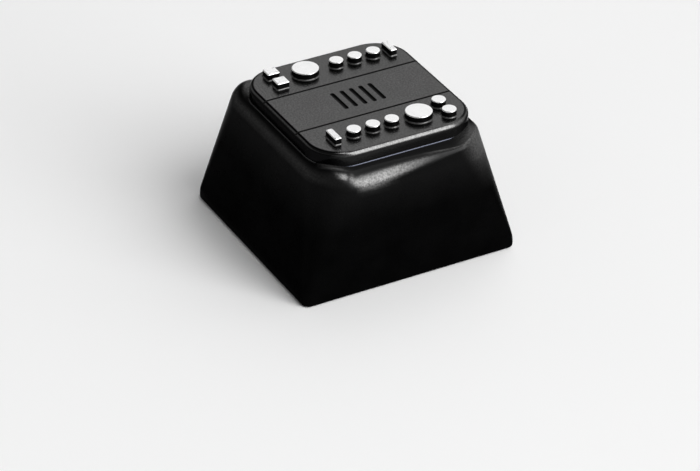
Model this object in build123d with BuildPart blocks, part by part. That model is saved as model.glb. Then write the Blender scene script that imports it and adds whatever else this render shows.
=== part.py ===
"""Artisan keycap: a drafted black metal cap with a raised control panel and a cross-socket stem inside.

Millimetres, +Z up, +X to the key's right, +Y to its back, origin at the middle of the rim plane.
"""
import os

from build123d import *

# Outer body: an upright square skirt, then walls that lean in to a rounded rectangle at the ledge
base_size = 18.1
base_corner_r = 0.6
skirt_h = 0.8
ledge_z = 9.88
side_lean = 0.45
end_lean = 1.9
top_corner_r = 3.2
shoulder_r = 1.1
rim_edge = 0.2

# Raised panel, set in from the body's edge and a little to the back, with two grooves that part it in three
ledge_side_w = 1.53
ledge_end_w = 0.43
panel_set_back = 0.3
panel_corner_r = 2.85
panel_h = 1.17
panel_root = 0.5
panel_edge_r = 0.38
groove_share = 0.184
groove_w = 0.2
groove_d = 0.22

# Studs on the two outer bands; each share is a place along the panel's length, from its middle
stud_h = 0.55
dial_d = 2.1
button_d = 1.12
button_pitch = 1.6
square_size = 1.0
bar_len = 1.55
bar_w = 0.55
right_bar_share = -0.347
right_row_share = -0.103
right_dial_share = 0.187
right_pair_share = 0.347
left_pair_share = -0.332
left_dial_share = -0.145
left_row_share = 0.172
left_bar_share = 0.397

# Plain slots sunk in the middle band
slot_count = 5
slot_pitch = 0.8
slot_len = 2.6
slot_w = 0.36
slot_d = 0.18

# Hollow underside
wall_t = 1.25
ceiling_z = 8.2
cavity_corner_r = 1.0
cavity_top_r = 2.4

# Stem post with a cross socket for a cross-stem key switch
post_wall = 0.7
post_end_z = 0.5
post_root = 0.4
post_edge = 0.2
cross_len = 4.1
cross_w_x = 1.32
cross_w_y = 1.17
cross_depth = 4.0
cross_lead = 0.2

# Values that follow from the ones above
top_size_x = base_size - 2 * side_lean
top_size_y = base_size - 2 * end_lean
panel_size_x = top_size_x - 2 * ledge_side_w
panel_size_y = top_size_y - 2 * ledge_end_w
panel_z = ledge_z + panel_h
groove_x = groove_share * panel_size_x
band_x = (groove_x + panel_size_x / 2) / 2
right_bar_y = panel_set_back + right_bar_share * panel_size_y
right_row_y = panel_set_back + right_row_share * panel_size_y
right_dial_y = panel_set_back + right_dial_share * panel_size_y
right_pair_y = panel_set_back + right_pair_share * panel_size_y
left_pair_y = panel_set_back + left_pair_share * panel_size_y
left_dial_y = panel_set_back + left_dial_share * panel_size_y
left_row_y = panel_set_back + left_row_share * panel_size_y
left_bar_y = panel_set_back + left_bar_share * panel_size_y
draw_in = (ceiling_z - skirt_h) / (ledge_z - skirt_h)
cavity_base = base_size - 2 * wall_t
cavity_top_x = base_size + (top_size_x - base_size) * draw_in - 2 * wall_t
cavity_top_y = base_size + (top_size_y - base_size) * draw_in - 2 * wall_t
post_d = cross_len + 2 * post_wall
near = 0.001

os.makedirs("parts", exist_ok=True)

with BuildPart() as keycap:
    # Skirt, then the drafted body up to the ledge
    with BuildSketch(Plane.XY):
        RectangleRounded(base_size, base_size, base_corner_r)
    extrude(amount=skirt_h)
    with BuildSketch(Plane.XY.offset(skirt_h)):
        RectangleRounded(base_size, base_size, base_corner_r)
    with BuildSketch(Plane.XY.offset(ledge_z)):
        RectangleRounded(top_size_x, top_size_y, top_corner_r)
    loft(ruled=True)
    fillet(keycap.edges().filter_by_position(Axis.Z, ledge_z - near, ledge_z + near), shoulder_r)

    # Raised panel with a rounded top edge, rooted below the round of the shoulder
    with BuildSketch(Plane.XY.offset(ledge_z - panel_root)):
        with Locations((0, panel_set_back)):
            RectangleRounded(panel_size_x, panel_size_y, panel_corner_r)
    extrude(amount=panel_root + panel_h)
    fillet(keycap.edges().filter_by_position(Axis.Z, panel_z - near, panel_z + near), panel_edge_r)

    # Studs of the right band, then of the left band
    with BuildSketch(Plane.XY.offset(panel_z)):
        with Locations((band_x, right_bar_y), (-band_x, left_bar_y)):
            Rectangle(bar_len, bar_w)
        with Locations((band_x, right_dial_y), (-band_x, left_dial_y)):
            Circle(dial_d / 2)
        with Locations((band_x, right_row_y), (-band_x, left_row_y)):
            with GridLocations(0, button_pitch, 1, 3):
                Circle(button_d / 2)
        with Locations((band_x, right_pair_y)):
            with GridLocations(button_pitch, 0, 2, 1):
                Circle(button_d / 2)
        with Locations((-band_x, left_pair_y)):
            with GridLocations(button_pitch, 0, 2, 1):
                Rectangle(square_size, square_size)
    extrude(amount=stud_h)

    # Grooves between the bands, run out through the panel's rounded edge
    with BuildSketch(Plane.XY.offset(panel_z)):
        with Locations((groove_x, panel_set_back), (-groove_x, panel_set_back)):
            Rectangle(groove_w, panel_size_y)
    extrude(amount=-groove_d, mode=Mode.SUBTRACT)

    # Row of plain slots in the middle band
    with BuildSketch(Plane.XY.offset(panel_z)):
        with Locations((0, panel_set_back)):
            with GridLocations(0, slot_pitch, 1, slot_count):
                SlotOverall(slot_len, slot_w)
    extrude(amount=-slot_d, mode=Mode.SUBTRACT)

    # Hollow underside, drawn in with the outside so that the wall keeps its thickness
    with BuildSketch(Plane.XY):
        RectangleRounded(cavity_base, cavity_base, cavity_corner_r)
    extrude(amount=skirt_h, mode=Mode.SUBTRACT)
    with BuildSketch(Plane.XY.offset(skirt_h)):
        RectangleRounded(cavity_base, cavity_base, cavity_corner_r)
    with BuildSketch(Plane.XY.offset(ceiling_z)):
        RectangleRounded(cavity_top_x, cavity_top_y, cavity_top_r)
    loft(ruled=True, mode=Mode.SUBTRACT)

    # Stem post, rooted in the ceiling, with its cross socket
    with BuildSketch(Plane.XY.offset(post_end_z)):
        Circle(post_d / 2)
    extrude(amount=ceiling_z - post_end_z)
    ceiling_edges = keycap.edges().filter_by_position(Axis.Z, ceiling_z - near, ceiling_z + near)
    chamfer(ceiling_edges.sort_by(SortBy.DISTANCE)[0], post_root)
    chamfer(keycap.edges().filter_by_position(Axis.Z, post_end_z - near, post_end_z + near), post_edge)
    with BuildSketch(Plane.XY.offset(post_end_z)):
        Rectangle(cross_len, cross_w_y)
        Rectangle(cross_w_x, cross_len)
    extrude(amount=cross_depth, mode=Mode.SUBTRACT)
    mouth = keycap.edges().filter_by(GeomType.LINE)
    chamfer(mouth.filter_by_position(Axis.Z, post_end_z - near, post_end_z + near), cross_lead)

    # Both edges of the rim that the cap rests on
    chamfer(keycap.edges().filter_by_position(Axis.Z, -near, near), rim_edge)

keycap.part.label = "keycap"
export_step(keycap.part, "parts/keycap.step")
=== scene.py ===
# %% [markdown]
# # Dressing a metal keycap
# A keycap is the cap that a finger presses on a keyboard. This one is a single piece of black anodised metal:
# a square body whose walls lean in, a rounded panel on top, and small studs whose tops are cut bright. The
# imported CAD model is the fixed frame. Its mesh is made of flat facets, so this lesson lays smooth skins in
# the same place. Sizes are written in millimetres, and MM turns them into Blender's metres.

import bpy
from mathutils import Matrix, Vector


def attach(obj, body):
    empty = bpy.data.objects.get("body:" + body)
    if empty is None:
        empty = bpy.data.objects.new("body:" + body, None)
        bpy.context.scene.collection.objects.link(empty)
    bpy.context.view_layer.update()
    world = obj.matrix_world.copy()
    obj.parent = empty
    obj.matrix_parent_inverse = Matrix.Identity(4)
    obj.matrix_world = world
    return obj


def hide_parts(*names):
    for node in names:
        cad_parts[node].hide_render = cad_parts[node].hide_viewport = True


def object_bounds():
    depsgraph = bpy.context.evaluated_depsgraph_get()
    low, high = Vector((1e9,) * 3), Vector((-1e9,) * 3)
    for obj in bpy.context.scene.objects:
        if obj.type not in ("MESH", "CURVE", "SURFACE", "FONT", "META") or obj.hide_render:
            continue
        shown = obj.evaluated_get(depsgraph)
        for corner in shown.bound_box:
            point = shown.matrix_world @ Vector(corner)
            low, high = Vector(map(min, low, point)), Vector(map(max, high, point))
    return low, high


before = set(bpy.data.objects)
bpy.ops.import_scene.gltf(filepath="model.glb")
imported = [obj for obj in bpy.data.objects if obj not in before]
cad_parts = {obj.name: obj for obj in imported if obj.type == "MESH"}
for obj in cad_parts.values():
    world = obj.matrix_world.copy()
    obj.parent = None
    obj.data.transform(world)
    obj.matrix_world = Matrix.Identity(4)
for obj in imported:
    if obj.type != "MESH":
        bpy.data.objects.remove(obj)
cad_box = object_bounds()
print("nodes", sorted(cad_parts))

# %% Tools for arrays and meshes, and the two sizes that the frame gives
import math

import bpy
import numpy as np

MM = 0.001
BASE_HALF = round(cad_box[1][0] / MM, 4)
TOP_Z = round(cad_box[1][2] / MM, 4)
print("half the base is", BASE_HALF, "and the studs reach", TOP_Z, "mm")

# %% [markdown]
# ## One trip round a rounded rectangle
# Every level of the body is a rounded rectangle, and only its half widths and its corner radius change with
# height. Blender's curves could be lofted, but then the corner points of two levels need not line up. Here
# each column of the grid keeps the direction it faces on every level, so a corner is a clean fan and a side
# stays dead straight.

# %% Columns round the outline
ARC_STEPS = 16
SIDE_STEPS = 12


def outline_columns(arc_steps, side_steps):
    """Corner signs and facing directions of one trip round a rounded rectangle, counter-clockwise from +X.

    A corner's columns turn through a quarter circle with that corner's signs. A side's columns keep the
    direction they face, while their signs slide evenly to those of the next corner.
    """
    corners = np.array([[1.0, 1.0], [-1.0, 1.0], [-1.0, -1.0], [1.0, -1.0]])
    turn = np.concatenate([np.linspace(0, 1, arc_steps + 1), np.ones(side_steps - 1)])
    slide = np.concatenate([np.zeros(arc_steps + 1), np.linspace(0, 1, side_steps + 1)[1:-1]])
    angle = (math.pi / 2 * (np.arange(4)[:, None] + turn)).ravel()
    here = corners[:, None, :]
    after = np.roll(corners, -1, axis=0)[:, None, :]
    signs = (here + (after - here) * slide[None, :, None]).reshape(-1, 2)
    return signs, np.stack([np.cos(angle), np.sin(angle)], axis=-1)


SIGNS, FACING = outline_columns(ARC_STEPS, SIDE_STEPS)
print("columns round each outline:", len(SIGNS))

# %% Outlines and levels


def outline(half_x, half_y, corner_r):
    """Plan of a rounded rectangle: sign times half width less radius, plus radius times the facing."""
    return SIGNS * (np.array([half_x, half_y]) - corner_r) + FACING * corner_r


def level(plan, z):
    """One level of a grid: a plan outline lifted to height z, with a first axis of length one."""
    return np.concatenate([plan, np.full((len(plan), 1), z)], axis=1)[None]


print("shape of one level:", level(outline(BASE_HALF, BASE_HALF, corner_r=0.6), z=0.0).shape)

# %% [markdown]
# ## From levels to a closed skin
# A stack of levels is a grid: one parameter runs round the outline, the other from level to level. Quads join
# neighbours, and a fan of triangles to one point closes each end, so the skin has no open seam. The order of
# the corners makes every face point out of the metal when the levels run from the top, down the outside and
# back up.

# %% Skin of a stack of levels


def skin(levels, first_pole, last_pole):
    """Points, quads and fans of a closed skin: quads between levels, and a fan to a pole at each end."""
    count = levels.shape[1]
    here = np.arange(count)
    after = np.roll(here, -1)
    start = np.arange(len(levels) - 1)[:, None] * count
    quads = np.stack([start + here, start + count + here, start + count + after, start + after], axis=-1)
    last = (len(levels) - 1) * count
    pole = np.full(count, len(levels) * count)
    first_fan = np.stack([pole, here, after], axis=-1)
    last_fan = np.stack([last + here, pole + 1, last + after], axis=-1)
    points = np.concatenate([levels.reshape(-1, 3), [first_pole, last_pole]])
    return points, quads.reshape(-1, 4), np.concatenate([first_fan, last_fan])


# %% Meshes and pieces
SHARP_DEG = 35


def make_mesh(name, points, quads, fans):
    """Mesh in metres from points in millimetres, shaded smooth except across edges sharper than SHARP_DEG."""
    mesh = bpy.data.meshes.new(name)
    mesh.from_pydata((points * MM).tolist(), [], quads.tolist() + fans.tolist())
    mesh.shade_smooth()
    mesh.set_sharp_from_angle(angle=math.radians(SHARP_DEG))
    mesh.update()
    return mesh


def mark_points(mesh, name, values):
    """Stores one number for each point under a name, for a material to read."""
    mark = mesh.attributes.new(name, "FLOAT", "POINT")
    mark.data.foreach_set("value", np.asarray(values, np.float32))


def make_piece(mesh, finishes, face_finish=None):
    """Object that rides with the cap, stands for its CAD node, and wears the given finishes face by face."""
    piece = bpy.data.objects.new(mesh.name, mesh)
    bpy.context.scene.collection.objects.link(piece)
    for finish in finishes:
        mesh.materials.append(finish)
    if face_finish is not None:
        mesh.polygons.foreach_set("material_index", np.asarray(face_finish, np.int32))
    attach(piece, "root")
    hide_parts("keycap")
    print(piece.name, "faces", len(mesh.polygons), "points", len(mesh.vertices))
    return piece


# %% [markdown]
# ## Finishes from nodes
# A finish in Blender is a tree of nodes that ends in a shader. Pictures could give the grain, but noise
# worked out from object coordinates has no borders and a known size in millimetres. Each helper adds one
# kind of node to a tree and hands back the output that the next one needs.

# %% Start a finish, and read marks and noise


def start_finish(name):
    """New material with object coordinates in its tree: the material, the tree and the tree's shader."""
    material = bpy.data.materials.new(name)
    material.use_nodes = True
    tree = material.node_tree
    tree.nodes.new("ShaderNodeTexCoord").name = "coords"
    return material, tree, tree.nodes["Principled BSDF"]


def add_mark(tree, name):
    """Number stored on the points under a name."""
    mark = tree.nodes.new("ShaderNodeAttribute")
    mark.attribute_name = name
    return mark.outputs["Fac"]


def add_noise(tree, grain_mm, detail):
    """Noise whose blotches are about grain_mm across on the object. Most of it lies between 0.3 and 0.7."""
    noise = tree.nodes.new("ShaderNodeTexNoise")
    noise.inputs["Scale"].default_value = 1.0 / (grain_mm * MM)
    noise.inputs["Detail"].default_value = detail
    tree.links.new(tree.nodes["coords"].outputs["Object"], noise.inputs["Vector"])
    return noise.outputs["Fac"]


def add_range(tree, value, low, high, from_low=0.3, from_high=0.7):
    """Spreads a value that goes from from_low to from_high evenly over low to high, and holds it there."""
    span = tree.nodes.new("ShaderNodeMapRange")
    span.inputs["From Min"].default_value = from_low
    span.inputs["From Max"].default_value = from_high
    span.inputs["To Min"].default_value = low
    span.inputs["To Max"].default_value = high
    tree.links.new(value, span.inputs["Value"])
    return span.outputs["Result"]


def add_grain(tree, grain_mm, detail, low=0.0, high=1.0):
    """Noise of a grain size, spread over the range from low to high."""
    return add_range(tree, add_noise(tree, grain_mm, detail), low, high)


# %% Blend colours and numbers, and raise a relief


def add_blend(tree, share, first, second):
    """Colour that goes from the first to the second as the share goes from 0 to 1."""
    blend = tree.nodes.new("ShaderNodeMix")
    blend.data_type = "RGBA"
    tree.links.new(share, blend.inputs["Factor"])
    for socket, shade in ((blend.inputs[6], first), (blend.inputs[7], second)):
        if isinstance(shade, tuple):
            socket.default_value = (*shade, 1.0)
        else:
            tree.links.new(shade, socket)
    return blend.outputs[2]


def add_mix(tree, share, first, last):
    """Number that goes from the first output to a last plain number as the share goes from 0 to 1."""
    mix = tree.nodes.new("ShaderNodeMix")
    tree.links.new(share, mix.inputs["Factor"])
    tree.links.new(first, mix.inputs["A"])
    mix.inputs["B"].default_value = last
    return mix.outputs["Result"]


def add_bump(tree, shader, height, depth_mm):
    """Small relief of the given depth, from a height between 0 and 1."""
    bump = tree.nodes.new("ShaderNodeBump")
    bump.inputs["Strength"].default_value = 1.0
    bump.inputs["Distance"].default_value = depth_mm * MM
    tree.links.new(height, bump.inputs["Height"])
    tree.links.new(bump.outputs["Normal"], shader.inputs["Normal"])


# %% [markdown]
# ## The black skin of the walls
# Anodising leaves a hard black skin on blasted metal. It has a fine even grain, and its black is never quite
# flat. Where the cutter left it smooth, on the ledge and along the top of the walls, it is shinier, and there
# its colour is also raised as painted sheen. On the rounded shoulder, painted highlights lighten the colour.
# A noise texture on object coordinates gives the grain its real size, about a tenth of a millimetre, and two
# marks stored on the points say where the skin is smooth with painted sheen and where highlights are painted.
# Plain metal would mirror white at a glancing look, which dyed skin doesn't, so the edge tint is held down.

# %% Black anodised skin
BLACK_DEEP = (0.0016, 0.0016, 0.00165)
BLACK_CLOUD = (0.0028, 0.0028, 0.00285)
# Painted sheen on the smooth parts, then the two greys of the painted highlights
BLACK_SHEEN = (0.04, 0.04, 0.0403)
HIGHLIGHT_DARK = (0.07, 0.0695, 0.069)
HIGHLIGHT_PALE = (0.18, 0.179, 0.178)
EDGE_TINT = (0.5, 0.5, 0.5, 1.0)
SMOOTH_ROUGHNESS = 0.28
black_skin, tree, shader = start_finish("black_anodised_skin")
shader.inputs["Metallic"].default_value = 0.7
shader.inputs["Specular IOR Level"].default_value = 0.0
shader.inputs["Specular Tint"].default_value = EDGE_TINT
# The smooth mark lowers the roughness, a smoother finish, and also lifts the colour as painted sheen.
smooth_and_sheen = add_mark(tree, "smooth_and_sheen")
wall_black = add_blend(tree, add_grain(tree, grain_mm=2.4, detail=3.0), BLACK_DEEP, BLACK_CLOUD)
skin_black = add_blend(tree, smooth_and_sheen, wall_black, BLACK_SHEEN)
# This mark paints highlights in grey over the black of the shoulder and of the stud feet.
highlight_grey = add_blend(tree, add_grain(tree, grain_mm=0.14, detail=3.0), HIGHLIGHT_DARK, HIGHLIGHT_PALE)
skin_colour = add_blend(tree, add_mark(tree, "painted_highlight"), skin_black, highlight_grey)
tree.links.new(skin_colour, shader.inputs["Base Color"])
blasted = add_grain(tree, grain_mm=0.6, detail=3.0, low=0.26, high=0.34)
tree.links.new(add_mix(tree, smooth_and_sheen, blasted, SMOOTH_ROUGHNESS), shader.inputs["Roughness"])
add_bump(tree, shader, add_noise(tree, grain_mm=0.11, detail=2.0), depth_mm=0.0035)
print("finish", black_skin.name, "nodes", len(tree.nodes))

# %% [markdown]
# ## The shell of the cap
# The body is a hollow pyramid with its point cut off. At the rim it is square with tight corners, and at the
# ledge it is a rounded rectangle that is shorter from front to back, so the two pairs of walls lean by
# different amounts and each corner is a slanted cone. A loft with bevels would do, but a bevel has one lean
# and one width for a whole edge. Worked out column by column, the rounded shoulder keeps true to each wall's
# own lean. It can also be broad at the front and tight at the back, and rise a little at the corners, as on
# the real cap.

# %% Outlines of the shell
SKIRT_Z = 0.8
LEDGE_Z = 9.88
CEILING_Z = 8.2
SIDE_LEAN = 0.45
END_LEAN = 1.9
WALL = 1.25
LEDGE_HALF_X = BASE_HALF - SIDE_LEAN
LEDGE_HALF_Y = BASE_HALF - END_LEAN
HOLLOW_HALF = BASE_HALF - WALL
CEILING_HALF_X = 7.433
CEILING_HALF_Y = 6.252
base_plan = outline(BASE_HALF, BASE_HALF, corner_r=0.6)
ledge_plan = outline(LEDGE_HALF_X, LEDGE_HALF_Y, corner_r=3.2)
hollow_plan = outline(HOLLOW_HALF, HOLLOW_HALF, corner_r=1.0)
ceiling_plan = outline(CEILING_HALF_X, CEILING_HALF_Y, corner_r=2.4)
print("half widths of the ledge", round(LEDGE_HALF_X, 3), round(LEDGE_HALF_Y, 3))

# %% Leaning walls


def lean_of(low, high, rise):
    """How far each column's wall draws in, along the direction it faces, for each millimetre of height."""
    return ((low - high) * FACING).sum(axis=1) / rise


def wall_rows(low, high, low_z, high_z, heights):
    """Rows of a leaning wall: points on the straight lines between two outlines, one row for each height."""
    share = (np.asarray(heights) - low_z) / (high_z - low_z)
    z = np.broadcast_to(np.asarray(heights)[:, None, None], (len(heights), len(low), 1))
    return np.concatenate([low + (high - low) * share[:, None, None], z], axis=-1)


leans = np.degrees(np.arctan(lean_of(base_plan, ledge_plan, LEDGE_Z - SKIRT_Z)))
print("lean in degrees, least and most", leans.min().round(2), leans.max().round(2))

# %% Rounded edges


def round_over(low, high, low_z, top_z, radius, steps):
    """Rows of a rounded edge between a leaning wall and a flat at top_z, from the flat down to the wall.

    In each column's own upright plane the edge is an arc. It starts level and ends along the wall, its
    centre lies one radius under the flat, and it stands out by radius times the cosine of its angle, less
    radius times the tangent of half the angle between wall and flat. The radius is one number, or one for
    each column.
    """
    lean = lean_of(low, high, top_z - low_z)
    tilt = np.arctan(lean)
    arc = math.pi / 2 + (tilt - math.pi / 2) * np.linspace(0, 1, steps + 1)[:, None]
    z = top_z - radius + radius * np.sin(arc)
    out = radius * (np.cos(arc) - np.tan((math.pi / 2 - tilt) / 2)) - lean * (top_z - z)
    plan = low + (high - low) * ((z - low_z) / (top_z - low_z))[..., None] + FACING * out[..., None]
    return np.concatenate([plan, z[..., None]], axis=-1)


def skirt_turn(low, high, low_z, top_z, radius, steps):
    """Rows of the soft turn from a leaning wall to the skirt: an arc from the wall's tilt to upright."""
    lean = lean_of(low, high, top_z - low_z)
    tilt = np.arctan(lean)
    arc = tilt * np.linspace(1, 0, steps + 1)[:, None]
    z = low_z - radius * np.tan(tilt / 2) + radius * np.sin(arc)
    above = np.clip(z - low_z, 0, None)
    out = lean * above - radius * (1 - np.cos(arc))
    plan = low + (high - low) * (above / (top_z - low_z))[..., None] + FACING * out[..., None]
    return np.concatenate([plan, z[..., None]], axis=-1)


def rim_round(plan, radius, steps, inward):
    """Rows of a quarter round under an upright wall: it moves by radius times one less cosine as it falls."""
    arc = np.linspace(0, math.pi / 2, steps + 1)[:, None]
    moved = plan[None] - inward * FACING[None] * (radius * (1 - np.cos(arc)))[..., None]
    z = np.broadcast_to((radius * (1 - np.sin(arc)))[..., None], (steps + 1, len(plan), 1))
    return np.concatenate([moved, z], axis=-1)


# %% Shoulder, broad at the front and tight at the back
FRONT_R = 1.1
BACK_R = 0.3
SIDE_EXTRA_R = 0.25
CORNER_RISE = 0.35


def ramp(value, start, end):
    """Smooth climb from 0 at the start to 1 at the end: three times the square less twice the cube."""
    way = np.clip((value - start) / (end - start), 0, 1)
    return way * way * (3 - 2 * way)


ledge_y = ledge_plan[:, 1]
on_side = np.abs(FACING[:, 0]) ** 5
at_corner = (2 * FACING[:, 0] * FACING[:, 1]) ** 2
shoulder_r = FRONT_R + (BACK_R - FRONT_R) * ramp(ledge_y, -1.0, 5.0)
shoulder_r = shoulder_r + SIDE_EXTRA_R * on_side * ramp(ledge_y, 0.0, -3.0)
shoulder = round_over(base_plan, ledge_plan, SKIRT_Z, LEDGE_Z, shoulder_r, steps=16)
down = np.linspace(0, 1, len(shoulder))[:, None]
shoulder[..., 2] += CORNER_RISE * at_corner * (1 - down)
print("shoulder radius", shoulder_r.min().round(2), "to", shoulder_r.max().round(2))

# %% Skirt, rim and ceiling
RIM_R = 0.2
SKIRT_R = 3.0
CEILING_R = 0.3
EDGE_STEPS = 6
skirt = skirt_turn(base_plan, ledge_plan, SKIRT_Z, LEDGE_Z, SKIRT_R, EDGE_STEPS)
rim_out = rim_round(base_plan, RIM_R, EDGE_STEPS, inward=1)
rim_in = rim_round(hollow_plan, RIM_R, EDGE_STEPS, inward=-1)[::-1]
ceiling_round = round_over(hollow_plan, ceiling_plan, SKIRT_Z, CEILING_Z, CEILING_R, EDGE_STEPS)[::-1]
print("skirt rows", len(skirt), "rim rows", len(rim_out) + len(rim_in), "ceiling rows", len(ceiling_round))

# %% Levels down the outside, from the ledge to the rim
# A row set close beside a round or a crease holds the shading of the flat next to it
HOLD = 0.03
CREASE = 0.05
UNDER_PANEL = ((3.0, 3.0, 1.0), (6.4, 6.1, 2.4))
WALL_ZS = (8.57, 8.38, 8.0, 7.2, 5.6, 3.6, 1.4)


def drawn_in(row):
    """A row of points moved in by HOLD against the direction that each of its columns faces."""
    return row - np.append(FACING * HOLD, np.zeros((len(FACING), 1)), axis=1)


ledge_rows = [level(outline(*sizes), LEDGE_Z) for sizes in UNDER_PANEL] + [drawn_in(shoulder[:1])]
wall = wall_rows(base_plan, ledge_plan, SKIRT_Z, LEDGE_Z, WALL_ZS)
outside = np.concatenate(ledge_rows + [shoulder, wall, skirt, level(base_plan, RIM_R + CREASE), rim_out])
falls = -np.diff(outside[len(ledge_rows) :, :, 2], axis=0)
print("levels down the outside", len(outside), "least fall from one to the next", falls.min())

# %% Levels up the inside, from the rim to the ceiling
HOLLOW_FOOT_ZS = (0.24, SKIRT_Z - CREASE)
HOLLOW_ZS = (SKIRT_Z + CREASE, 2.5, 5.0, 7.8)
flat_inset = FACING * (RIM_R + HOLD)
rim_flat = [level(base_plan - flat_inset, 0.0), level(hollow_plan + flat_inset, 0.0)]
hollow_foot = [level(hollow_plan, z) for z in HOLLOW_FOOT_ZS]
hollow = wall_rows(hollow_plan, ceiling_plan, SKIRT_Z, CEILING_Z, HOLLOW_ZS)
ceiling_rows = [drawn_in(ceiling_round[-1:]), level(outline(1.8, 1.8, corner_r=0.6), CEILING_Z)]
inside = np.concatenate(rim_flat + [rim_in] + hollow_foot + [hollow, ceiling_round] + ceiling_rows)
shell_levels = np.concatenate([outside, inside])
print("shell levels", len(shell_levels), "highest", shell_levels[..., 2].max())

# %% [markdown]
# ## Where the skin is smooth, and where sheen and highlights are painted
# The ledge and the rounded shoulder are cut finer than the walls, and their colour is raised as painted
# sheen, most of all along the two sides. Painted highlights lighten the shoulder: in a long patch on each
# side, broad in front and fine behind, in a spot on each front corner, and on the back corners. This could be
# painted on by hand. Here it is worked out from how far down the round a point lies, how far back it lies,
# and which way its column faces.

# %% How smooth each level of the shell is, with painted sheen in its colour
LEDGE_SHINE = 0.7
WALL_SHINE = 0.12
END_SHARE = 0.12
WALL_TOP_SHINE = (0.13, 0.12, 0.1, 0.06)
shoulder_rows = slice(len(ledge_rows), len(ledge_rows) + len(shoulder))
wall_top_rows = slice(shoulder_rows.stop, shoulder_rows.stop + len(WALL_TOP_SHINE))
shine = LEDGE_SHINE + (WALL_SHINE - LEDGE_SHINE) * down
spread = END_SHARE + (1 - END_SHARE) * (on_side + down - on_side * down)
# The smooth mark lowers the roughness and raises the colour as painted sheen, more along the sides than at
# the ends and fading down the top of the walls.
sheen_and_polish = np.zeros(shell_levels.shape[:2])
sheen_and_polish[: len(ledge_rows)] = shine[0] * spread[0]
sheen_and_polish[shoulder_rows] = shine * spread
sheen_and_polish[wall_top_rows] = np.array(WALL_TOP_SHINE)[:, None]
print("smooth points", np.count_nonzero(sheen_and_polish), "of", sheen_and_polish.size)

# %% Painted highlight patch along each side, and a faint painted highlight along the ends
PATCH_DOWN = 0.58
PATCH_CLIMB = 0.06
PATCH_HALF = 0.25
PATCH_NARROWING = 0.015
PATCH_HIGHLIGHT = 0.55
PATCH_FADE = 0.22
PATCH_FRONT = (-5.3, -4.5)
PATCH_SLANT = 2.0
BACK_EDGE_HIGHLIGHT = 0.5
END_HIGHLIGHT = 0.2
along = shoulder[..., 1]
held = np.clip(along, -3, 3)
patch_half = PATCH_HALF - PATCH_NARROWING * held
off_middle = np.abs(down - PATCH_DOWN + PATCH_CLIMB * held)
patch = ramp(off_middle, 1.4 * patch_half, 0.4 * patch_half) * np.clip(PATCH_HIGHLIGHT - PATCH_FADE * along, 0, 1)
patch = patch * ramp(along - PATCH_SLANT * np.clip(down - 0.5, 0, 1), *PATCH_FRONT)
side_highlight = patch + BACK_EDGE_HIGHLIGHT * ramp(along, 1.0, 3.0) * ramp(down, 0.4, 0.1)
end_highlight = END_HIGHLIGHT * ramp(down, 0.22, 0.52) * ramp(down, 1.05, 0.55)
shoulder_highlight = end_highlight * FACING[:, 1] ** 2 + side_highlight * on_side
print("most painted highlight on a side", shoulder_highlight.max().round(2))

# %% Painted highlight spots on the corners
SPOT_TURN = 22
SPOT_TURN_FADE = (16.8, 4.8)
SPOT_DOWN = 0.39
SPOT_DOWN_FADE = (0.192, 0.072)
SPOT_HIGHLIGHT = 0.9
GAP_TURN = 17
GAP_FADE = (4.8, 0.8)
GAP_DEPTH = 0.9
TOP_EDGE_HIGHLIGHT = 0.65
BACK_CORNER_HIGHLIGHT = 0.7


def moved_to(value, target, share):
    """A value moved to a target by a share of the way."""
    return value + (target - value) * share


front_turn = np.degrees(np.arctan2(-FACING[:, 1], np.abs(FACING[:, 0])))
spot = ramp(np.abs(front_turn - SPOT_TURN), *SPOT_TURN_FADE)
spot = spot * ramp(np.abs(down - SPOT_DOWN), *SPOT_DOWN_FADE)
# Beside each front spot the painted highlight is taken away again, leaving a dark gap.
gap = ramp(np.abs(front_turn - GAP_TURN), *GAP_FADE)
back_corner = at_corner * ramp(ledge_y, 0.0, 4.0)
shoulder_highlight = moved_to(shoulder_highlight, SPOT_HIGHLIGHT, spot)
shoulder_highlight = moved_to(shoulder_highlight, 0.0, GAP_DEPTH * gap)
shoulder_highlight = moved_to(shoulder_highlight, TOP_EDGE_HIGHLIGHT, at_corner * ramp(down, 0.2, 0.0))
shoulder_highlight = moved_to(shoulder_highlight, BACK_CORNER_HIGHLIGHT, back_corner)
print("columns on the front spots", np.count_nonzero(spot.max(axis=0)))

# %% How much painted highlight each level of the shell carries
BACK_CORNER_FADE = (0.55, 0.4, 0.25, 0.1)
SIDE_FADE = (0.6, 0.1)
highlight_share = np.zeros(shell_levels.shape[:2])
highlight_share[1 : len(ledge_rows)] = TOP_EDGE_HIGHLIGHT * at_corner
highlight_share[shoulder_rows] = shoulder_highlight
highlight_share[wall_top_rows] = np.outer(BACK_CORNER_FADE, back_corner)
highlight_share[wall_top_rows][: len(SIDE_FADE)] += np.outer(SIDE_FADE, side_highlight[-1] * on_side)
# Points that carry painted highlight
print("worn points", np.count_nonzero(highlight_share), "of", highlight_share.size)

# %% Shell piece
POLE_SHINE = (0.1, 0.0)
POLE_HIGHLIGHT = (0.0, 0.0)
shell_mesh = make_mesh("cap_shell", *skin(shell_levels, (0, 0, LEDGE_Z), (0, 0, CEILING_Z)))
mark_points(shell_mesh, "smooth_and_sheen", np.append(sheen_and_polish.ravel(), POLE_SHINE))
mark_points(shell_mesh, "painted_highlight", np.append(highlight_share.ravel(), POLE_HIGHLIGHT))
make_piece(shell_mesh, [black_skin])

# %% [markdown]
# ## The stem post
# Under the ceiling stands a round post with a cross-shaped socket, which is pushed on to the switch. The end
# face lies between a circle and a cross, so one set of columns has to serve both: the points step along the
# twelve edges of the cross, and the circle takes the same angles. Small lead-in faces help the switch to
# enter.

# %% Cross of the socket
CROSS_HALF = 2.05
CROSS_HALF_X = 0.66
CROSS_HALF_Y = 0.585
CROSS_LEAD = 0.2


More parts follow.
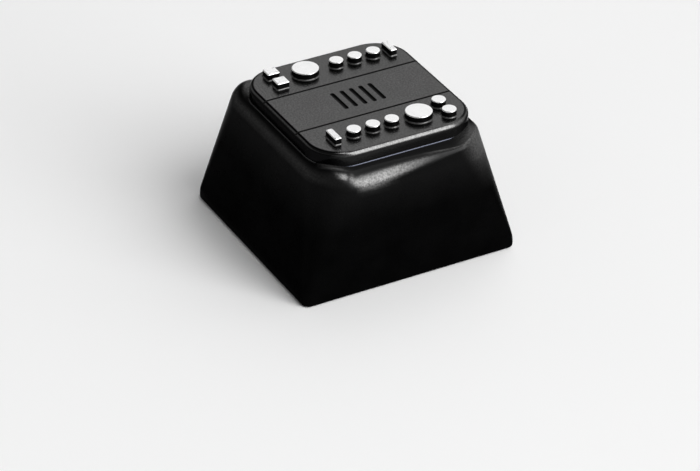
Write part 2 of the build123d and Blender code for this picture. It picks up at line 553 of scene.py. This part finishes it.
def cross_plan(half_len, half_x, half_y, steps=6):
    """Plan of a cross: even steps along the straight edges between its twelve corners, counter-clockwise."""
    quarter = np.array([[half_len, half_y], [half_x, half_y], [half_x, half_len]])
    back = quarter[::-1]
    corners = np.concatenate([quarter, back * (-1, 1), -quarter, back * (1, -1)])
    ahead = np.roll(corners, -1, axis=0)
    share = np.linspace(0, 1, steps + 1)[:-1]
    return (corners[:, None] + (ahead - corners)[:, None] * share[None, :, None]).reshape(-1, 2)


socket = cross_plan(CROSS_HALF, CROSS_HALF_X, CROSS_HALF_Y)
mouth = cross_plan(CROSS_HALF + CROSS_LEAD, CROSS_HALF_X + CROSS_LEAD, CROSS_HALF_Y + CROSS_LEAD)
around = socket / np.linalg.norm(socket, axis=1, keepdims=True)
print("post columns", len(socket))

# %% Rings of the post
POST_R = 2.75
POST_END_Z = 0.5
POST_ROOT_R = 0.4
POST_EDGE_R = 0.2
POST_MIDDLE_Z = 4.0


def ring_rows(reach, heights):
    """Rows of rings round the post: each column's direction times a row's reach, at that row's height."""
    plan = around[None] * np.asarray(reach)[:, None, None]
    z = np.broadcast_to(np.asarray(heights)[:, None, None], (*plan.shape[:2], 1))
    return np.concatenate([plan, z], axis=-1)


root_arc = np.linspace(math.pi / 2, 0, 7)
root_z = CEILING_Z - POST_ROOT_R
post_root = ring_rows(POST_R + POST_ROOT_R * (1 - np.cos(root_arc)), root_z + POST_ROOT_R * np.sin(root_arc))
edge_arc = np.linspace(0, math.pi / 2, 6)
edge_z = POST_END_Z + POST_EDGE_R
post_edge = ring_rows(POST_R - POST_EDGE_R * (1 - np.cos(edge_arc)), edge_z - POST_EDGE_R * np.sin(edge_arc))
post_side = ring_rows([POST_R] * 3, [root_z - CREASE, POST_MIDDLE_Z, edge_z + CREASE])
print("post rows", len(post_root) + len(post_side) + len(post_edge))

# %% Post piece
CROSS_DEPTH = 4.0
POST_SINK = 0.1
buried_z = CEILING_Z + POST_SINK
floor_z = POST_END_Z + CROSS_DEPTH
buried = ring_rows([POST_R + POST_ROOT_R], [buried_z])
end_face = [ring_rows([POST_R - POST_EDGE_R - HOLD], [POST_END_Z]), level(mouth, POST_END_Z)]
cross_walls = [level(socket, POST_END_Z + CROSS_LEAD), level(socket, floor_z)]
post_levels = np.concatenate([buried, post_root, post_side, post_edge, *end_face, *cross_walls])
post_mesh = make_mesh("stem_post", *skin(post_levels, (0, 0, buried_z), (0, 0, floor_z)))
mark_points(post_mesh, "smooth_and_sheen", np.zeros(len(post_mesh.vertices)))
mark_points(post_mesh, "painted_highlight", np.zeros(len(post_mesh.vertices)))
make_piece(post_mesh, [black_skin])

# %% [markdown]
# ## The finish of the panel and of its cuts
# The panel's face is lapped finer than the walls, and its lighter grey is partly painted reflection of the
# bright room, so it mirrors the room as an even dark grey, with a very fine grain and faint blotches. Lapping
# stops at the rounded edge, and the sides below it stay black, so the material goes over from one to the
# other by height, read from the object coordinates. On the front and back a fine painted dark line, a painted
# reflection, lies between the face and the edge, while along the two sides the edge and the foot carry a
# painted highlight and the black sides are made a little lighter as painted sheen. What is sunk below the
# face, the grooves and slots, keeps a matt black, because the cutter leaves a rougher floor and little light
# gets in.

# %% Place on the panel, read by its finish
PANEL_H = 1.17
PANEL_Z = LEDGE_Z + PANEL_H
LEDGE_SIDE_W = 1.53
PANEL_HALF_X = LEDGE_HALF_X - LEDGE_SIDE_W
panel_skin, tree, shader = start_finish("lapped_panel_skin")
place = tree.nodes.new("ShaderNodeSeparateXYZ")
tree.links.new(tree.nodes["coords"].outputs["Object"], place.inputs["Vector"])
height = place.outputs["Z"]


def add_climb(tree, value, low_mm, high_mm):
    """Share that goes from 0 at a low place on the object to 1 at a high one."""
    return add_range(tree, value, 0.0, 1.0, low_mm * MM, high_mm * MM)


from_middle = tree.nodes.new("ShaderNodeMath")
from_middle.operation = "ABSOLUTE"
tree.links.new(place.outputs["X"], from_middle.inputs[0])
near_side = add_climb(tree, from_middle.outputs["Value"], PANEL_HALF_X - 0.77, PANEL_HALF_X - 0.17)
print("the panel's face lies at", PANEL_Z, "and its sides at", PANEL_HALF_X)

# %% Colour of the panel's face and of its rounded edge
# Greys of the face, partly painted reflection of the bright room, with darker specks of grain
FACE_SHEEN_DARK = (0.124, 0.1236, 0.1232)
FACE_SHEEN_PALE = (0.138, 0.1376, 0.1372)
LAPPED_SPECK = (0.06, 0.0597, 0.0594)
# Painted highlight on the rounded side edges, with darker specks of grain
EDGE_HIGHLIGHT_PALE = (0.14, 0.1395, 0.139)
EDGE_HIGHLIGHT_SPECK = (0.07, 0.0697, 0.0694)
# Painted dark line, a painted reflection, along the front and back edges
PAINTED_DARK_LINE = (0.015, 0.015, 0.0152)
PANEL_GRAIN = 0.13
blotch = add_grain(tree, grain_mm=1.6, detail=4.0)
speckle = add_range(tree, add_noise(tree, PANEL_GRAIN, detail=2.0), 0.0, 0.65, from_low=0.38, from_high=0.62)
face_grey = add_blend(tree, speckle, add_blend(tree, blotch, FACE_SHEEN_DARK, FACE_SHEEN_PALE), LAPPED_SPECK)
edge_highlight_grey = add_blend(tree, speckle, EDGE_HIGHLIGHT_PALE, EDGE_HIGHLIGHT_SPECK)
# Front and back edges get the painted dark line, the two sides the painted highlight.
edge_dark_line_and_highlight = add_blend(tree, near_side, PAINTED_DARK_LINE, edge_highlight_grey)
edge_grey = add_blend(tree, add_climb(tree, height, PANEL_Z - 0.08, PANEL_Z - 0.05), edge_highlight_grey, edge_dark_line_and_highlight)
on_face = add_climb(tree, height, PANEL_Z - 0.006, PANEL_Z - 0.001)
top_grey_and_sheen = add_blend(tree, on_face, edge_grey, face_grey)
print("nodes of the panel's top", len(tree.nodes))

# %% Colour of the panel's sides and foot
# A painted highlight line at the panel's foot, bluish along the sides, and a painted sheen that makes the
# sides' black a little lighter than the ends'.
FOOT_HIGHLIGHT_END = (0.045, 0.045, 0.0455)
FOOT_HIGHLIGHT_SIDE = (0.068, 0.073, 0.093)
BLACK_END = (0.005, 0.005, 0.0052)
BLACK_SIDE_SHEEN = (0.02, 0.02, 0.0202)
HIGHLIGHT_REACH_LOWER = 0.14
foot_highlight = add_blend(tree, near_side, FOOT_HIGHLIGHT_END, FOOT_HIGHLIGHT_SIDE)
side_black_and_sheen = add_blend(tree, near_side, BLACK_END, BLACK_SIDE_SHEEN)
above_foot = add_climb(tree, height, LEDGE_Z + 0.05, LEDGE_Z + 0.1)
side_colour = add_blend(tree, above_foot, foot_highlight, side_black_and_sheen)
# Along the sides the face colour reaches lower down the round, as a painted highlight.
raised = tree.nodes.new("ShaderNodeMath")
tree.links.new(height, raised.inputs[0])
tree.links.new(add_range(tree, near_side, 0.0, HIGHLIGHT_REACH_LOWER * MM, 0.0, 1.0), raised.inputs[1])
lapped = add_climb(tree, raised.outputs["Value"], PANEL_Z - 0.2, PANEL_Z - 0.05)
tree.links.new(add_blend(tree, lapped, side_colour, top_grey_and_sheen), shader.inputs["Base Color"])
print("nodes with the sides", len(tree.nodes))

# %% Gloss and grain of the panel
FACE_ROUGHNESS = 0.25
shader.inputs["Specular IOR Level"].default_value = 0.0
shader.inputs["Specular Tint"].default_value = EDGE_TINT
tree.links.new(add_range(tree, lapped, 0.75, 1.0, from_low=0.0, from_high=0.5), shader.inputs["Metallic"])
edge_roughness = add_range(tree, near_side, 0.1, 0.22, from_low=0.0, from_high=1.0)
near_face = add_climb(tree, height, PANEL_Z - 0.015, PANEL_Z)
tree.links.new(add_mix(tree, near_face, edge_roughness, FACE_ROUGHNESS), shader.inputs["Roughness"])
add_bump(tree, shader, add_noise(tree, PANEL_GRAIN, detail=2.0), depth_mm=0.0035)
print("finish", panel_skin.name, "nodes", len(tree.nodes))

# %% Finish of the sunk cuts
SOOT_DARK = (0.004, 0.004, 0.004)
SOOT_PALE = (0.009, 0.009, 0.009)
sunk_black, tree, shader = start_finish("sunk_matt_black")
soot = add_blend(tree, add_grain(tree, grain_mm=0.25, detail=3.0), SOOT_DARK, SOOT_PALE)
tree.links.new(soot, shader.inputs["Base Color"])
rough_floor = add_grain(tree, grain_mm=0.12, detail=2.0, low=0.5, high=0.65)
tree.links.new(rough_floor, shader.inputs["Roughness"])
shader.inputs["Specular IOR Level"].default_value = 0.25
add_bump(tree, shader, add_noise(tree, grain_mm=0.06, detail=2.0), depth_mm=0.002)
print("finish", sunk_black.name, "nodes", len(tree.nodes))

# %% [markdown]
# ## The raised panel
# The panel is a low plate with a rounded top edge. Two grooves part it into three bands, and a row of plain
# slots is sunk in the middle one. The plate is one more stack of outlines. The cuts cross its rounded edge at
# an angle that no stack of outlines follows, so they are made as on a milling machine: cutter bodies are
# taken away from the plate with a Boolean modifier, which is then applied.

# %% Top and foot of the plate
LEDGE_END_W = 0.43
PANEL_HALF_Y = LEDGE_HALF_Y - LEDGE_END_W
PANEL_BACK = 0.3
PANEL_EDGE_R = 0.38
FOOT_HOLLOW_R = 0.08
panel_plan = outline(PANEL_HALF_X, PANEL_HALF_Y, corner_r=2.85) + (0, PANEL_BACK)
panel_round = round_over(panel_plan, panel_plan, LEDGE_Z, PANEL_Z, PANEL_EDGE_R, steps=12)
past_front = shoulder[0, :, 1].min() - panel_plan[:, 1]
past_back = panel_plan[:, 1] - shoulder[0, :, 1].max()
past_flat = np.clip(np.maximum(past_front, past_back), 0, None)
under_r = np.where(past_back > past_front, BACK_R, FRONT_R)
foot_z = LEDGE_Z - under_r + np.sqrt(under_r**2 - past_flat**2)
foot_turn = np.linspace(0, math.pi / 2, 7)[:, None]
foot_plan = panel_plan + FACING * (FOOT_HOLLOW_R * (1 - np.cos(foot_turn)))[..., None]
foot = np.concatenate([foot_plan, (foot_z + FOOT_HOLLOW_R * (1 - np.sin(foot_turn)))[..., None]], axis=-1)
print("the panel's foot drops below the ledge by up to", (LEDGE_Z - foot_z.min()).round(3))

# %% Plate of the panel
PANEL_INNER = 2.2
PANEL_SIDE_Z = 10.4
FOOT_SINK = 0.3
PANEL_ROOT_Z = LEDGE_Z - 0.4
panel_top = [level(panel_plan - FACING * inset, PANEL_Z) for inset in (PANEL_INNER, PANEL_EDGE_R + HOLD)]
panel_side = [panel_round, level(panel_plan, PANEL_SIDE_Z), foot]
panel_root = [foot[-1:] - (0, 0, FOOT_SINK), level(panel_plan - FACING * PANEL_INNER, PANEL_ROOT_Z)]
panel_levels = np.concatenate(panel_top + panel_side + panel_root)
panel_poles = ((0, PANEL_BACK, PANEL_Z), (0, PANEL_BACK, PANEL_ROOT_Z))
panel_mesh = make_mesh("control_panel", *skin(panel_levels, *panel_poles))
control_panel = make_piece(panel_mesh, [panel_skin, sunk_black])

# %% Bodies that cut, and how they are gathered


def prism(plan, low_z, high_z):
    """Closed upright prism over a plan: its top level, its bottom level and a pole at the middle of each."""
    middle = plan.mean(axis=0)
    levels = np.concatenate([level(plan, high_z), level(plan, low_z)])
    return skin(levels, (*middle, high_z), (*middle, low_z))


def gather(skins):
    """Points and faces of several skins as one, with each one's face numbers moved past the points before."""
    starts = np.cumsum([0] + [len(points) for points, _, _ in skins[:-1]])
    points = np.concatenate([points for points, _, _ in skins])
    quads = np.concatenate([quads + start for (_, quads, _), start in zip(skins, starts)])
    fans = np.concatenate([fans + start for (_, _, fans), start in zip(skins, starts)])
    return points, quads, fans


# %% Cutters for the grooves and slots
GROOVE_SHARE = 0.184
GROOVE_X = GROOVE_SHARE * 2 * PANEL_HALF_X
GROOVE_HALF_W = 0.1
GROOVE_HALF_LEN = 7.2
GROOVE_D = 0.22
SLOT_HALF_LEN = 1.3
SLOT_HALF_W = 0.18
SLOT_PITCH = 0.8
SLOT_D = 0.18
CUTTER_OVER = 0.3
CUT_TOP = PANEL_Z + CUTTER_OVER
groove_corners = np.array([[1, -1], [1, 1], [-1, 1], [-1, -1]])
groove_plan = groove_corners * (GROOVE_HALF_W, GROOVE_HALF_LEN)
grooves = [prism(groove_plan + (x, PANEL_BACK), PANEL_Z - GROOVE_D, CUT_TOP) for x in (GROOVE_X, -GROOVE_X)]
slot_plan = outline(SLOT_HALF_LEN, SLOT_HALF_W, corner_r=0.172)
slot_ys = PANEL_BACK + SLOT_PITCH * np.arange(-2, 3)
slots = [prism(slot_plan + (0, y), PANEL_Z - SLOT_D, CUT_TOP) for y in slot_ys]
cutter_mesh = make_mesh("cutters", *gather(grooves + slots))
cutter_mesh.materials.append(panel_skin)
cutter_mesh.materials.append(sunk_black)
cutter_mesh.polygons.foreach_set("material_index", np.ones(len(cutter_mesh.polygons), np.int32))
print("cutters", len(grooves) + len(slots), "faces", len(cutter_mesh.polygons))

# %% Take the cutters away
cutter = bpy.data.objects.new("cutters", cutter_mesh)
bpy.context.scene.collection.objects.link(cutter)
milling = control_panel.modifiers.new("milling", "BOOLEAN")
milling.operation = "DIFFERENCE"
milling.solver = "EXACT"
milling.object = cutter
milled = bpy.data.meshes.new_from_object(control_panel.evaluated_get(bpy.context.evaluated_depsgraph_get()))
control_panel.modifiers.clear()
control_panel.data = milled
milled.name = "control_panel"
milled.set_sharp_from_angle(angle=math.radians(SHARP_DEG))
bpy.data.objects.remove(cutter)
print("milled panel faces", len(milled.polygons), "materials", [m.name for m in milled.materials])

# %% [markdown]
# ## Bright-cut metal
# After the cap is anodised, a cutter skims the top of each stud. That takes the black off and leaves bare
# bright metal with fine rings round the middle of each stud. The rings follow a mark stored on the points,
# the distance from the stud's own middle, because one pattern on object coordinates would have a single
# centre.

# %% Bright finish
BRIGHT_DULL = (0.87, 0.87, 0.87)
BRIGHT_CLEAR = (0.91, 0.91, 0.91)
RING_STEP = 0.03
bright_cut, tree, shader = start_finish("bright_cut_metal")
shader.inputs["Metallic"].default_value = 1.0
tarnish = add_blend(tree, add_grain(tree, grain_mm=0.5, detail=3.0), BRIGHT_DULL, BRIGHT_CLEAR)
tree.links.new(tarnish, shader.inputs["Base Color"])
skimmed = add_grain(tree, grain_mm=0.2, detail=2.0, low=0.22, high=0.26)
tree.links.new(skimmed, shader.inputs["Roughness"])
rings = tree.nodes.new("ShaderNodeMath")
rings.operation = "PINGPONG"
rings.inputs[1].default_value = RING_STEP
tree.links.new(add_mark(tree, "from_middle"), rings.inputs[0])
ring_height = add_range(tree, rings.outputs["Value"], 0.0, 1.0, from_low=0.0, from_high=RING_STEP)
add_bump(tree, shader, ring_height, depth_mm=0.0002)
print("finish", bright_cut.name, "nodes", len(tree.nodes))

# %% [markdown]
# ## The studs
# Fourteen small studs stand on the outer bands: dials, buttons, squares and bars. All of them share one
# profile, a tiny hollow at the foot, an upright side and a broken top edge, and only the plan differs. The
# profile is carried round a circle or a small rounded rectangle, so one function makes them all.

# %% Profile of the studs
STUD_H = TOP_Z - PANEL_Z
STUD_FOOT_R = 0.1
STUD_BREAK_R = 0.06
STUD_SINK = 0.06
top_arc = np.linspace(math.pi / 2, 0, 5)
foot_arc = np.linspace(0, math.pi / 2, 6)
top_out = np.append(-STUD_BREAK_R - HOLD, STUD_BREAK_R * (np.cos(top_arc) - 1))
top_up = np.append(STUD_H, STUD_H + STUD_BREAK_R * (np.sin(top_arc) - 1))
side_up = [STUD_H - STUD_BREAK_R - HOLD, STUD_FOOT_R + HOLD]
foot_out = np.append(STUD_FOOT_R * (1 - np.cos(foot_arc)), STUD_FOOT_R)
foot_up = np.append(STUD_FOOT_R * (1 - np.sin(foot_arc)), -STUD_SINK)
profile_out = np.concatenate([top_out, [0, 0], foot_out])
profile_up = np.concatenate([top_up, side_up, foot_up])
print("profile rows", len(profile_out), "reach", profile_out.min(), "to", profile_out.max())

# %% Plans of the studs, and the profile carried round them
BUTTON_R = 0.56
DIAL_R = 1.05
SQUARE_HALF = 0.5
BAR_HALF_LEN = 0.775
BAR_HALF_W = 0.275
STUD_CORNER_R = 0.07
wheel_angle = np.linspace(0, 2 * math.pi, 72, endpoint=False)
wheel = np.stack([np.cos(wheel_angle), np.sin(wheel_angle)], axis=-1)
button_plan = wheel * BUTTON_R
dial_plan = wheel * DIAL_R
square_plan = outline(SQUARE_HALF, SQUARE_HALF, STUD_CORNER_R)
bar_plan = outline(BAR_HALF_LEN, BAR_HALF_W, STUD_CORNER_R)


def stud(plan, facing, x, y):
    """Skin of one stud: the plan moved out by the profile's reach along each facing direction, row by row."""
    ring = plan[None] + facing[None] * profile_out[:, None, None] + (x, y)
    z = np.broadcast_to((PANEL_Z + profile_up)[:, None, None], (*ring.shape[:2], 1))
    return skin(np.concatenate([ring, z], axis=-1), (x, y, PANEL_Z + STUD_H), (x, y, PANEL_Z - STUD_SINK))


print("points round a button", len(button_plan), "and round a square", len(square_plan))

# %% Places of the studs
BAND_X = (GROOVE_X + PANEL_HALF_X) / 2
STUD_PITCH = 1.6


def along_panel(share):
    """Place along the panel's length, from a share of it measured from the middle."""
    return PANEL_BACK + share * 2 * PANEL_HALF_Y


def row_along(x, y):
    """Places of three studs in a row from front to back, one pitch apart."""
    return [(x, y + STUD_PITCH * step) for step in (-1, 0, 1)]


def pair_across(x, y):
    """Places of two studs side by side, half a pitch to each side."""
    return [(x - STUD_PITCH / 2, y), (x + STUD_PITCH / 2, y)]


buttons = row_along(BAND_X, along_panel(-0.103)) + row_along(-BAND_X, along_panel(0.172))
buttons += pair_across(BAND_X, along_panel(0.347))
dials = [(BAND_X, along_panel(0.187)), (-BAND_X, along_panel(-0.145))]
squares = pair_across(-BAND_X, along_panel(-0.332))
bars = [(BAND_X, along_panel(-0.347)), (-BAND_X, along_panel(0.397))]
places = buttons + dials + squares + bars
print("places", len(places))

# %% Stud piece
NEAR = 0.001
STUD_SHINE = 0.15
STUD_FOOT_HIGHLIGHT = 0.8
studs = [stud(button_plan, wheel, x, y) for x, y in buttons]
studs += [stud(dial_plan, wheel, x, y) for x, y in dials]
studs += [stud(square_plan, FACING, x, y) for x, y in squares]
studs += [stud(bar_plan, FACING, x, y) for x, y in bars]
from_middles = [np.linalg.norm(points[:, :2] - at, axis=1) for at, (points, _, _) in zip(places, studs)]
stud_points, stud_quads, stud_fans = gather(studs)
stud_mesh = make_mesh("control_studs", stud_points, stud_quads, stud_fans)
stud_z = stud_points[:, 2]
mark_points(stud_mesh, "from_middle", np.concatenate(from_middles))
# Stud sides get a little painted sheen from the smooth mark, and each foot a painted highlight crescent.
mark_points(stud_mesh, "smooth_and_sheen", np.full(len(stud_points), STUD_SHINE))
mark_points(stud_mesh, "painted_highlight", STUD_FOOT_HIGHLIGHT * (stud_z < PANEL_Z + STUD_FOOT_R - NEAR))
lowest_of_face = np.append(stud_z[stud_quads].min(axis=1), stud_z[stud_fans].min(axis=1))
below_top = lowest_of_face < PANEL_Z + STUD_H - STUD_BREAK_R - NEAR
make_piece(stud_mesh, [bright_cut, black_skin], below_top)

# %% [markdown]
# ## Floor, light and camera
# The cap stands on a plain pale floor under soft studio light. A tall softbox on the right lights the rounded
# shoulder, whose curve finds it in reflection, and a small one overhead catches the front corner. Shiny black
# metal shows nothing but what it mirrors, so the room matters as much as the lamps. A white screen behind the
# cap is what the flat panel and the tops of the studs mirror. The rest of the room is dim, and it is dark
# overhead, which draws the fine dark lines along the rounded edges.

# %% Floor
FLOOR_HALF = 3.0
FLOOR_Z = -0.00001
FLOOR_DULL = (0.9, 0.9, 0.9)
FLOOR_PALE = (0.92, 0.92, 0.92)
floor_skin, tree, shader = start_finish("pale_floor")
mottle = add_blend(tree, add_grain(tree, grain_mm=60.0, detail=2.0), FLOOR_DULL, FLOOR_PALE)
tree.links.new(mottle, shader.inputs["Base Color"])
shader.inputs["Roughness"].default_value = 0.9
shader.inputs["Specular IOR Level"].default_value = 0.0
floor_mesh = bpy.data.meshes.new("floor")
floor_corners = [(x * FLOOR_HALF, y * FLOOR_HALF, FLOOR_Z) for x, y in ((-1, -1), (1, -1), (1, 1), (-1, 1))]
floor_mesh.from_pydata(floor_corners, [], [(0, 1, 2, 3)])
floor_mesh.materials.append(floor_skin)
floor = bpy.data.objects.new("floor", floor_mesh)
bpy.context.scene.collection.objects.link(floor)
print("floor", floor.dimensions[:])

# %% Room that is dim, and dark overhead
ROOM_DIM = 0.45
ROOM_DARK = 0.06
world = bpy.data.worlds.new("studio")
bpy.context.scene.world = world
world.use_nodes = True
tree = world.node_tree
sky = tree.nodes["Background"]
sky.inputs["Color"].default_value = (1.0, 1.0, 1.0, 1.0)
looked_at = tree.nodes.new("ShaderNodeTexCoord").outputs["Generated"]
look_parts = tree.nodes.new("ShaderNodeSeparateXYZ")
tree.links.new(looked_at, look_parts.inputs["Vector"])
look_up = look_parts.outputs["Z"]
room = add_range(tree, look_up, ROOM_DIM, ROOM_DARK, from_low=0.45, from_high=0.62)
print("room nodes", len(tree.nodes))

# %% White screen behind the cap
SCREEN_LEFT = (-0.474, -0.88, 0.0)
SCREEN_BACK = (-0.88, 0.474, 0.0)


def add_lean(tree, direction, toward):
    """How far a direction leans toward a given level one: the dot product of the two."""
    lean = tree.nodes.new("ShaderNodeVectorMath")
    lean.operation = "DOT_PRODUCT"
    lean.inputs[1].default_value = toward
    tree.links.new(direction, lean.inputs[0])
    return lean.outputs["Value"]


def add_math(tree, operation, first, second):
    """Result of one operation on two values, such as their product or the larger of them."""
    node = tree.nodes.new("ShaderNodeMath")
    node.operation = operation
    tree.links.new(first, node.inputs[0])
    tree.links.new(second, node.inputs[1])
    return node.outputs["Value"]


not_left = add_range(tree, add_lean(tree, looked_at, SCREEN_LEFT), 1.0, 0.0, from_low=0.16, from_high=0.24)
behind = add_range(tree, add_lean(tree, looked_at, SCREEN_BACK), 0.0, 1.0, from_low=-0.25, from_high=0.0)
below = add_range(tree, look_up, 1.0, 0.0, from_low=0.86, from_high=0.95)
screen = add_math(tree, "MULTIPLY", add_math(tree, "MULTIPLY", not_left, behind), below)
tree.links.new(add_math(tree, "MAXIMUM", room, screen), sky.inputs["Strength"])
print("room nodes with the screen", len(tree.nodes))

# %% Softboxes
from mathutils import Matrix, Vector

CAP_MIDDLE = Vector((0, 0, 0.008))


def add_softbox(name, toward, distance, width, height, watts):
    """Area lamp in a direction from the cap, facing it. Lengths are in metres."""
    lamp = bpy.data.lights.new(name, "AREA")
    lamp.shape = "RECTANGLE"
    lamp.size = width
    lamp.size_y = height
    lamp.energy = watts
    box = bpy.data.objects.new(name, lamp)
    bpy.context.scene.collection.objects.link(box)
    away = Vector(toward).normalized()
    box.location = away * distance + CAP_MIDDLE
    box.rotation_euler = away.to_track_quat("Z", "Y").to_euler()
    print(name, "at", [round(c, 3) for c in box.location])


add_softbox("key_softbox", toward=(0.72, 0.415, 0.555), distance=0.9, width=0.56, height=1.12, watts=9.6)
add_softbox("top_softbox", toward=(0.172, 0.027, 0.985), distance=0.9, width=0.24, height=0.24, watts=0.8)

# %% Camera
CAMERA_AT = (0.185355, -0.100199, 0.1339)
right = Vector((0.4741, 0.8805, 0.0))
ahead = Vector((-0.7409, 0.3990, -0.5402))
over = right.cross(ahead)
camera_data = bpy.data.cameras.new("photo_camera")
camera_data.sensor_width = 36.0
camera_data.lens = 166.5
camera_data.clip_start = 0.01
camera = bpy.data.objects.new("photo_camera", camera_data)
bpy.context.scene.collection.objects.link(camera)
aimed = Matrix((right, over, -ahead)).transposed().to_4x4()
camera.matrix_world = Matrix.Translation(CAMERA_AT) @ aimed
bpy.context.scene.camera = camera
bpy.context.scene.view_settings.view_transform = "Standard"
print("camera at", [round(c, 4) for c in camera.matrix_world.translation])
